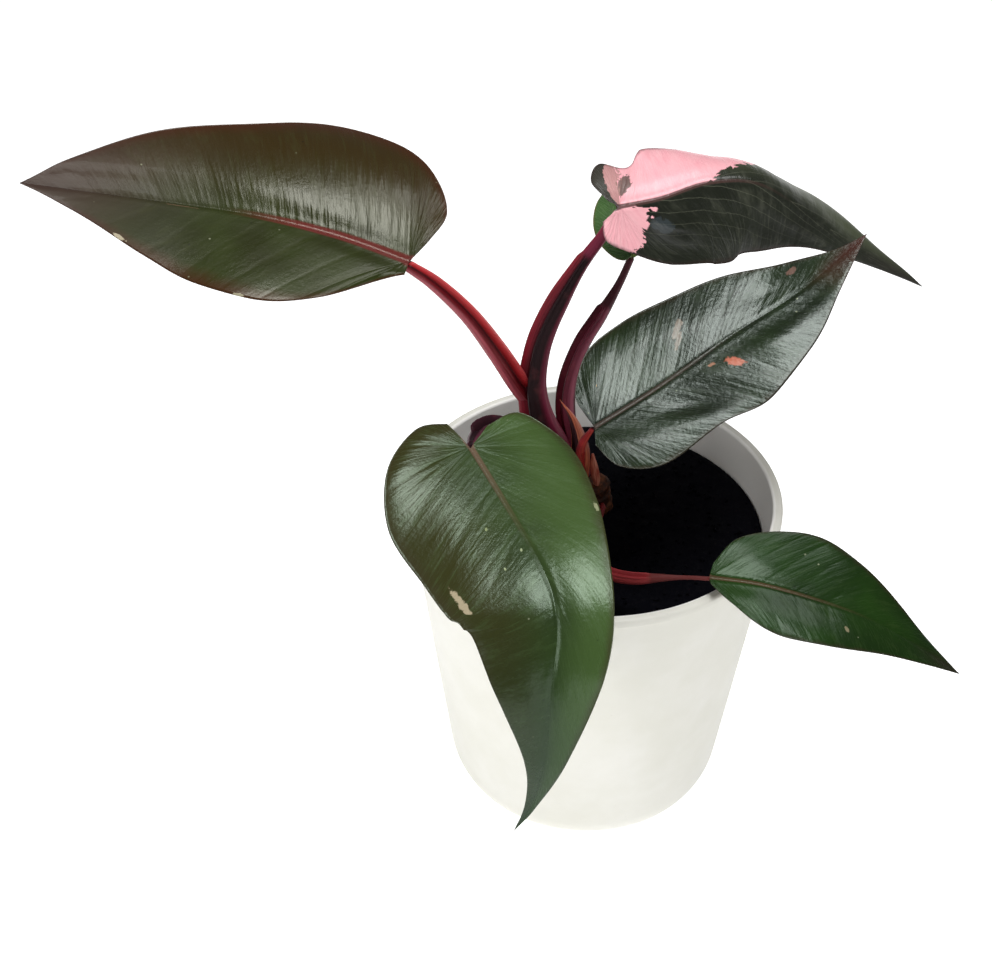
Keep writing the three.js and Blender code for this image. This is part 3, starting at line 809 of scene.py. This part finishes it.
leaves = {
    "leaf_left": {
        "midrib": [(-70, 8, 118), (-95, 12, 126), (-124, 16, 132), (-154, 20, 135), (-186, 20, 140),
                   (-209, 16, 146)],
        "faceBase": (0, -0.35, 0.93), "faceTip": (0, -0.35, 0.93), "halfWidth": 42,
        "left": {"fold": [12, 8], "curl": [15, 15],
                 "margin": [(0, 0.05), (0.06, 0.1), (0.18, 0.21), (0.33, 0.265), (0.5, 0.245), (0.67, 0.18),
                            (0.84, 0.08), (1, 0)]},
        "right": {"fold": [19, 14], "curl": [34, 32],
                  "margin": [(-0.03, 0.07), (-0.05, 0.165), (0.01, 0.28), (0.13, 0.365), (0.3, 0.382),
                             (0.5, 0.3), (0.7, 0.22), (0.87, 0.095), (1, 0)]},
        "slot": "leaf_dark", "seed": 1,
    },
    "leaf_right_high": {
        "midrib": [(7, 28, 129), (23, 36, 128), (42, 46, 129), (62, 52, 125), (84, 56, 109), (105, 58, 92),
                   (133, 60, 74)],
        "faceBase": (0.1, -0.5, 0.85), "faceTip": (0.5, -0.5, 0.85), "halfWidth": 32,
        "left": {"fold": [-12, -12, -4], "curl": [12, 12, 70, 75, 60, 40, 20],
                 "margin": [(-0.02, 0.03), (-0.03, 0.1), (0.02, 0.155), (0.09, 0.13), (0.18, 0.18),
                            (0.3, 0.175), (0.45, 0.17), (0.65, 0.14), (0.84, 0.06), (1, 0)]},
        "right": {"fold": [-35, -24, -12], "curl": [10, 10],
                  "margin": [(-0.05, 0.03), (-0.045, 0.08), (0.04, 0.13), (0.17, 0.19), (0.32, 0.21),
                             (0.48, 0.165), (0.6, 0.09), (0.78, 0.03), (1, 0)]},
        "slot": "leaf_pink", "seed": 2,
        "blisters": [(-1, 0.425, 0.38, 0.03, 0.2, 2.4), (1, 0.33, 0.7, 0.03, 0.3, 0.8)],
    },
    "leaf_back": {
        "midrib": [(14, 44, 99), (9, 58, 102), (7, 72, 105), (6, 84, 105)],
        "faceBase": (0, -0.3, 0.95), "faceTip": (0, -0.2, 0.95), "halfWidth": 12,
        "left": backHalf,
        "right": backHalf,
        "slot": "leaf_green", "seed": 3,
    },
    "leaf_right": {
        "midrib": [(-2, -22, 64), (22, -10, 74), (49, 4, 87), (75, 16, 99), (100, 28, 117)],
        "faceBase": (-0.15, -0.45, 0.88), "faceTip": (-0.2, -0.45, 0.85), "halfWidth": 34,
        "left": {"fold": [8, 5], "curl": [15, 15],
                 "margin": [(0, 0.04), (0.01, 0.12), (0.12, 0.225), (0.26, 0.25), (0.42, 0.225),
                            (0.59, 0.185), (0.76, 0.105), (0.9, 0.03), (1, 0)]},
        "right": {"fold": [8, 5], "curl": [15, 15],
                  "margin": [(-0.03, 0.05), (-0.01, 0.15), (0.1, 0.22), (0.3, 0.215), (0.46, 0.24),
                             (0.66, 0.175), (0.83, 0.08), (1, 0)]},
        "slot": "leaf_green", "seed": 4,
        "blisters": [(-1, 0.5, 0.45, 0.07, 0.3, -1.3), (-1, 0.72, 0.6, 0.06, 0.3, 1.1),
                     (1, 0.3, 0.6, 0.08, 0.35, 1.0), (1, 0.75, 0.5, 0.08, 0.4, -0.8)],
    },
    "leaf_front": {
        "midrib": [(-48, -20, 53), (-35, -45, 46), (-21, -75, 39), (-17, -92, 30), (-19, -106, 12),
                   (-21, -114, -16), (-26, -115, -39), (-32, -116, -52)],
        "faceBase": (0, -0.1, 1), "faceTip": (-0.1, -0.9, 0.3), "halfWidth": 40,
        "left": {"fold": [3, 5], "curl": [20, 20],
                 "margin": [(-0.04, 0.06), (-0.05, 0.15), (0.07, 0.205), (0.24, 0.18), (0.42, 0.125),
                            (0.6, 0.1), (0.77, 0.047), (0.9, 0.015), (1, 0)]},
        "right": {"fold": [8, 5], "curl": [20, 20],
                  "margin": [(-0.08, 0.02), (-0.09, 0.09), (-0.02, 0.19), (0.11, 0.25), (0.26, 0.238),
                             (0.41, 0.215), (0.54, 0.165), (0.67, 0.095), (0.83, 0.03), (1, 0)]},
        "slot": "leaf_green", "seed": 5,
    },
    "leaf_right_low": {
        "midrib": [(40, -58, 22), (62, -62, 21), (92, -68, 14), (113, -72, 4), (134, -76, -10)],
        "faceBase": (0, -0.3, 0.9), "faceTip": (0.4, -0.3, 0.8), "halfWidth": 24,
        "left": {"fold": [10, 6], "curl": [10, 10],
                 "margin": [(0.01, 0.06), (0.08, 0.16), (0.22, 0.228), (0.38, 0.25), (0.52, 0.205),
                            (0.7, 0.115), (0.87, 0.04), (1, 0)]},
        "right": {"fold": [10, 6], "curl": [10, 10],
                  "margin": [(0.01, 0.03), (0.09, 0.1), (0.2, 0.172), (0.35, 0.19), (0.55, 0.158),
                             (0.78, 0.085), (1, 0)]},
        "slot": "leaf_green", "seed": 6,
    },
}

blade = {
    "rows": 260,
    "steps": 46,
    "fan": 0.36,                                    # share of the margin whose veins start at the notch
    "thickness": 0.55,
    "veins": 11,                                    # main side veins on each half
    "crowding": 1.15,                               # above 1 brings the columns closer by the midrib
    "veinSpread": 1.1,                              # above 1 brings the veins closer by the notch
    "edgeThinning": 0.65,                           # share of the thickness lost at the margin
    "ribDepth": 1.5,
    "ribWidth": 1.1,
    "grooveDepth": 0.42,
    "grooveWidth": 0.8,
    "grooveShoulder": 0.16,
    "marginWave": 0.5,
    "slowWave": 0.3,
}


def bladePoint(leaf, path, hand, along, out):
    # Start at the midrib point, go out on one hand along an arc that leaves at the fold angle and bends
    # down by curl across the half width. The upward side turns evenly from base to tip.
    half = leaf["left"] if hand > 0 else leaf["right"]
    point, heading = path.at(along)
    share = np.clip(along / path.length, 0, 1)
    base, tip = np.asarray(leaf["faceBase"], float), np.asarray(leaf["faceTip"], float)
    normal = base + (tip - base) * share[..., None]
    normal = unit(normal - (normal * heading).sum(-1, keepdims=True) * heading)
    side = np.cross(normal, heading)
    fold = np.radians(between(half["fold"], share))
    bend = np.radians(between(half["curl"], share)) / leaf["halfWidth"]
    level = (np.sin(fold) - np.sin(fold - bend * out)) / bend
    height = (np.cos(fold - bend * out) - np.cos(fold)) / bend
    return point + side * (hand * level)[..., None] + normal * height[..., None], normal


def bladeNormal(leaf, path, hand, along, out):
    # the cross product of a small step along and a small step out; on the midrib, the upward side
    step = 0.5
    inner = np.minimum(out, step)
    def stepped(further, wider):
        return bladePoint(leaf, path, hand, along + further, out + wider)[0]
    alongWay = stepped(step, 0) - stepped(-step, 0)
    outWay = stepped(0, step) - stepped(0, -inner)
    normal = unit(np.cross(alongWay, outWay) * hand)
    middle = bladePoint(leaf, path, hand, along, out)[1]
    ease = smooth(0, 1.2, out)[..., None]
    return unit(middle * (1 - ease) + normal * ease)


def ripple(share, seed, waves):
    # a sum of sine waves of falling height, with seeded phases
    rng = np.random.default_rng(seed)
    total = 0 * share
    for k in range(1, waves + 1):
        total = total + np.sin(2 * np.pi * (k * share + rng.random())) / k ** 0.8
    return total


def bladeRelief(leaf, hand, rowShare, across, out, length):
    # what stands above the smooth blade, in millimetres: the midrib's groove, a dip along each side
    # vein with a soft swell between, slow waves towards the margin, and any blisters
    taper = np.clip(1 - rowShare, 0, 1) ** 0.6
    groove = -blade["grooveDepth"] * taper * bell(out, 0, blade["grooveWidth"])
    groove = groove + blade["grooveShoulder"] * taper * bell(out, 1.9, 1.1)
    phase = rowShare * blade["veins"] + 0.25 * ripple(rowShare * 0.5 + across * 0.2, leaf["seed"] + 20, 3)
    vein = -0.05 * np.exp(-((phase - np.round(phase)) / 0.06) ** 2) + 0.035 * (1 - np.cos(2 * np.pi * phase))
    body = smooth(0, 3, out) * smooth(0.0, 0.08, 1 - across)
    wave = blade["marginWave"] * across ** 3 * ripple(rowShare + 0.3 * hand, leaf["seed"], 5)
    wave = wave * smooth(0, 0.1, 1 - rowShare)
    slow = blade["slowWave"] * ripple(0.7 * rowShare + 0.35 * hand * across, leaf["seed"] + 40, 4)
    slow = slow * smooth(0, 8, out)
    total = groove + vein * body + (wave + slow) * smooth(0, 10, out)
    for side, row, reach, rowSize, reachSize, lift in leaf.get("blisters", []):
        if side == hand:
            total = total + lift * bell(rowShare, row, rowSize) * bell(across, reach, reachSize)
    return total


def bladeGrid(leaf):
    # rows follow the side veins from the left margin through the midrib to the right margin
    path = Path(np.asarray(leaf["midrib"], float) + soilTop)
    rows, steps = blade["rows"], blade["steps"]
    rowShare = np.linspace(0, 1, rows + 1)[:, None]
    across = np.linspace(0, 1, steps + 1)[None, :] ** blade["crowding"]
    start = np.maximum(0, (rowShare - blade["fan"]) / (1 - blade["fan"])) ** blade["veinSpread"]
    halves = {}
    for hand, side in ((1, "left"), (-1, "right")):
        edge = splineThrough(leaf[side]["margin"], rowShare[:, 0], 0.0)
        along = (start + (edge[:, :1] - start) * across) * path.length
        out = edge[:, 1:] * across * path.length
        share = rowShare + 0 * across
        point = bladePoint(leaf, path, hand, along, out)[0]
        normal = bladeNormal(leaf, path, hand, along, out)
        relief = bladeRelief(leaf, hand, share, across + 0 * share, out, path.length)
        thick = blade["thickness"] * (1 - blade["edgeThinning"] * across ** 12)
        rib = blade["ribDepth"] * np.clip(1 - share, 0, 1) ** 0.8 * bell(out, 0, blade["ribWidth"])
        halves[hand] = {
            "upper": point + normal * (relief + thick / 2)[..., None],
            "lower": point + normal * (relief - thick / 2 - rib)[..., None],
            "out": out, "uv": np.stack([share, 0.5 + 0.5 * hand * (across + 0 * share)], -1),
        }
    return {key: np.concatenate([halves[1][key][:, :0:-1], halves[-1][key]], 1) for key in halves[1]}


def makeLeaf(name, leaf, finishes):
    grid = bladeGrid(leaf)
    rows, columns = grid["out"].shape
    both = shiftOnto(np.stack([grid["upper"], grid["lower"]]), name)
    faces, kinds = shellFaces(rows, columns)
    uv = grid["uv"].reshape(-1, 2)
    values = {"outward": np.tile(grid["out"].ravel(), 2)}
    makePiece("blade_" + name, both, faces, finishes, uv=np.vstack([uv, uv]), values=values,
              faceFinish=kinds, nodes=[name])


def leafFinish(name, look):
    # What follows the veins is placed by the blade's own map: row is 0 at the notch, 1 at the tip and
    # the same all along a side vein, and across runs from -1 at the right margin through the midrib to
    # 1 at the left margin. Clouds and specks are placed in space.
    finish = Finish(name, {"Specular IOR Level": look.get("gloss", 0.45), "Coat Roughness": 0.1,
                           "Specular Tint": shade(look.get("sheen", "#ffffff"))})
    row, sideways = finish.skinPlace()
    across = (sideways - 0.5) * 2.0
    away = across.size()
    outward = finish.attribute("outward")
    place = finish.objectPlace()
    fine = finish.noise(finish.vector(row * 150.0, across * 3.0), 1.0, 3.0, 0.6)
    ridge = finish.noise(finish.vector(row * 62.0, across * 1.3), 1.0, 2.0, 0.5)
    broad = finish.noise(finish.vector(row * 34.0, across * 2.2), 1.0, 3.0, 0.6)
    cloud = finish.noise(place, 42.0, 3.0)
    pebble = finish.noise(place, 620.0, 3.0, 0.6)
    colour = finish.tint(finish.rise(cloud, 0.3, 0.7), shade(look["deep"]), shade(look["body"]))
    if "leftTint" in look:
        colour = finish.tint(finish.rise(across + 0.3 * cloud, 0.1, 0.9), colour, shade(look["leftTint"]))
    if "rightTint" in look:
        colour = finish.tint(finish.rise(0.3 * cloud - across, 0.1, 0.9), colour, shade(look["rightTint"]))
    colour = finish.tint(finish.rise(broad, 0.5, 0.75) * 0.3, colour, shade(look["streak"]))
    colour = finish.tint(finish.rise(fine, 0.55, 0.75) * 0.25, colour, shade(look["streak"]))
    phase = (row - away * look.get("sweep", 0.0)) * float(blade["veins"]) + 0.5 + 0.4 * broad
    vein = 1.0 - finish.rise((phase.fraction() - 0.5).size(), 0.008, 0.045)
    colour = finish.tint(vein * (1.0 - away) * look.get("veins", 0.2), colour, shade(look["streak"]))
    if "pink" in look:
        colour = variegation(finish, look, colour, row, across)
    edge = finish.rise(away + 0.12 * (broad - 0.5), look.get("marginFrom", 0.9), 1.02)
    colour = finish.tint(edge * 0.8, colour, shade(look["margin"]))
    tipFrom = look.get("tipFrom", 0.88)
    colour = finish.tint(finish.rise(row + 0.1 * cloud, tipFrom, 1.03) * 0.9, colour, shade(look["tip"]))
    fadeFrom, fadeTo = look["midribFade"]
    rib = 1.0 - finish.rise(outward / (look.get("midribWidth", 1.5) * (1.0 - 0.75 * row)), 0.6, 1.05)
    rib = rib * (1.0 - finish.rise(row, fadeFrom, fadeTo)) * 0.9
    colour = finish.tint(rib, colour, shade(look["midrib"]))
    dots = finish.add("ShaderNodeTexVoronoi", {}, {"Vector": place, "Scale": 190.0}, "Distance")
    pick = finish.noise(place, 90.0, 1.0)
    speck = (1.0 - finish.rise(dots, 0.04, 0.09)) * finish.rise(pick, 0.6, 0.64)
    colour = finish.tint(speck * look.get("specks", 0.5), colour, shade("#aeb394"))
    pit = (1.0 - finish.rise(dots, 0.05, 0.11)) * (1.0 - finish.rise(pick, 0.36, 0.4))
    colour = finish.tint(pit * look.get("specks", 0.5), colour, shade("#0c0e08"))
    jag = finish.noise(place, 330.0, 3.0, 0.7)
    # each mark tints an elliptical patch: nicks, scars and specks of the blade, and on leaf_right_high a
    # blue-grey painted highlight
    for markRow, markAcross, rowSize, acrossSize, code, strength in look.get("marks", []):
        far = (((row - markRow) / rowSize) ** 2.0 + ((across - markAcross) / acrossSize) ** 2.0) ** 0.5
        inside = 1.0 - finish.rise(far + (jag - 0.5) * 2.2, 0.7, 1.0)
        colour = finish.tint(inside * strength, colour, shade(code))
    finish.give(colour=colour)
    dullLeft, dullRight, dullTip = look.get("dull", (0.0, 0.0, 0.0))
    left = finish.rise(across, -0.02, 0.02)
    dull = left * dullLeft + (1.0 - left) * dullRight + finish.rise(row, 0.55, 0.85) * dullTip
    finish.give(roughness=(0.13 + 0.15 * fine + 0.12 * broad + dull).least(0.8), coat=look.get("coat", 0.05))
    calmLeft, calmRight, calmTip = look.get("calm", (0.0, 0.0, 0.0))
    calm = left * calmLeft + (1.0 - left) * calmRight + finish.rise(row, 0.55, 0.85) * calmTip
    relief = (fine * 0.35 + ridge * 0.9 + broad * 0.5) * (1.0 - calm) + pebble * look.get("pebble", 0.15)
    finish.give(normal=finish.bump(relief, look.get("relief", 0.00042), 0.85))
    return finish


def variegation(finish, look, colour, row, across):
    # the pink sectors of a variegated blade end in steps along the side veins, with marbling near the notch
    cells = finish.add("ShaderNodeTexVoronoi", {"distance": "CHEBYCHEV"},
                       {"Vector": finish.vector(row * 80.0, across * 16.0), "Scale": 1.0}, "Color")
    step = (cells - 0.5) * 0.03
    left = finish.rise(across, -0.004, 0.004)
    away = across.size()
    pink = finish.tint(finish.noise(finish.vector(row * 60.0, across * 3.0), 1.0, 3.0),
                       shade(look["pink"]), shade(look["pinkPale"]))
    leftEnd = 0.548 + 0.18 * away
    rightEnd = 0.445 - 0.22 * away - 0.05 * (1.0 - finish.rise(away, 0.03, 0.1))
    end = leftEnd * left + rightEnd * (1.0 - left)
    isPink = 1.0 - finish.rise(row + step - end, -0.0025, 0.0025)
    colour = finish.tint(isPink, colour, pink)
    # the marbled patch and the dark ear of the left lobe
    patch = (((row - 0.33) / 0.055) ** 2.0 + ((across - 0.46) / 0.27) ** 2.0) ** 0.5
    patch = (1.0 - finish.rise(patch + step * 14.0, 0.85, 0.95)) * left
    colour = finish.tint(patch * 0.9, colour, shade("#5b5148"))
    ear = (1.0 - finish.rise(row + step - (0.105 + 0.147 * away), -0.003, 0.003)) * left
    blush = (1.0 - finish.rise(row + step * 2.0 - 0.3, -0.003, 0.003)) * left
    colour = finish.tint(blush * 0.75, colour, shade("#a97f78"))
    return finish.tint(ear * finish.rise(away, 0.06, 0.12), colour, shade("#3c3a33"))


def underFinish():
    finish = Finish("leafUnderside", {"Specular IOR Level": 0.3})
    place = finish.objectPlace()
    cloud = finish.noise(place, 60.0, 3.0)
    colour = finish.tint(finish.rise(cloud, 0.3, 0.7), shade("#4a2c2a"), shade("#4c5438"))
    finish.give(colour=colour, roughness=0.5 + 0.2 * cloud, normal=finish.bump(cloud, 0.0003, 0.4))
    return finish


looks = {
    "leaf_left": {
        "deep": "#24280a", "body": "#2c3510", "rightTint": "#33260a", "streak": "#3a3f1c",
        "margin": "#421c0a", "marginFrom": 0.8, "tip": "#3a2420", "midrib": "#6c2a28",
        "midribFade": (0.55, 0.7), "midribWidth": 3.6, "gloss": 0.4, "sheen": "#fffff0",
        "dull": (0.02, 0.0, 0.28), "calm": (0.9, 0.0, 0.0), "tipFrom": 0.75, "relief": 0.0006,
        "marks": [(0.77, 0.965, 0.016, 0.03, "#b9ae94", 0.9), (0.475, 0.99, 0.016, 0.02, "#a9a388", 0.9),
                  (0.76, 0.04, 0.03, 0.01, "#8a6654", 0.6)],
    },
    "leaf_right_high": {
        "deep": "#171a12", "body": "#1f2319", "leftTint": "#464d36", "streak": "#5a5c4e",
        "margin": "#2c1c18", "tip": "#2e2c26", "midrib": "#4c3430", "midribFade": (0.5, 0.75),
        "veins": 0.75, "sweep": 0.5, "specks": 0.0, "pink": "#f5a2ae", "pinkPale": "#fdc6ca",
        "dull": (0.0, 0.05, 0.1),
        # the blue-grey mark is a painted highlight: the reflection on the blister beside the near pink edge
        "marks": [(0.41, -0.32, 0.022, 0.14, "#3e474c", 0.5)],
    },
    "leaf_back": {
        "deep": "#35502a", "body": "#4a6a3a", "streak": "#5f7c4a", "margin": "#6a5a34", "tip": "#3a4a24",
        "midrib": "#6a7a44", "midribFade": (0.5, 0.8),
    },
    "leaf_right": {
        "deep": "#10180a", "body": "#1c2a12", "streak": "#36422c", "margin": "#332a20", "tip": "#43201a",
        "midrib": "#463a34", "midribFade": (0.5, 0.75), "pebble": 0.6, "relief": 0.0003, "coat": 0.12,
        "gloss": 0.5, "sheen": "#f2fff7",
        "marks": [(0.547, 0.54, 0.012, 0.12, "#7e7064", 0.8), (0.556, 0.4, 0.008, 0.12, "#7e7064", 0.75),
                  (0.634, -0.37, 0.012, 0.12, "#b8644c", 0.95), (0.614, -0.19, 0.007, 0.03, "#a97a62", 0.8),
                  (0.301, 0.437, 0.003, 0.015, "#c48a3a", 0.95), (0.78, 0.82, 0.012, 0.1, "#7c5c52", 0.7),
                  (0.596, 0.872, 0.004, 0.02, "#0a0d08", 0.9), (0.577, 0.96, 0.004, 0.02, "#0a0d08", 0.9),
                  (0.665, 0.7, 0.004, 0.02, "#0a0d08", 0.9), (0.693, 0.67, 0.004, 0.02, "#0a0d08", 0.9)],
    },
    "leaf_front": {
        "deep": "#29371a", "body": "#354721", "leftTint": "#42592c", "rightTint": "#343416",
        "streak": "#4c6238", "margin": "#3a3422", "pebble": 0.4, "marginFrom": 0.86, "tip": "#12260c",
        "midrib": "#735a4c", "midribFade": (0.3, 0.6), "midribWidth": 2.0, "relief": 0.0003, "gloss": 0.42,
        "sheen": "#e6ffe8", "calm": (0.5, 0.1, 0.2), "tipFrom": 0.55,
        "marks": [(0.54, -0.832, 0.042, 0.034, "#b8a98c", 0.85),
                  (0.559, -0.109, 0.003, 0.012, "#a9b48a", 0.8),
                  (0.557, -0.337, 0.003, 0.012, "#a9b48a", 0.8),
                  (0.486, -0.286, 0.003, 0.012, "#9aa575", 0.7),
                  (0.392, 0.97, 0.007, 0.02, "#9ca07c", 0.85)],
    },
    "leaf_right_low": {
        "deep": "#172c0c", "body": "#213c12", "streak": "#344820", "margin": "#2f281c", "tip": "#2a261c",
        "midrib": "#54402e", "midribFade": (0.5, 0.8), "gloss": 0.22, "sheen": "#e6ffe8",
        "calm": (0.5, 0.4, 0.4),
        "marks": [(0.675, -0.56, 0.005, 0.07, "#8f8468", 0.85)],
    },
}

under = underFinish()
for name, leaf in leaves.items():
    makeLeaf(name, leaf, [leafFinish("skin_" + name, looks[name]), under])
print("leaves")
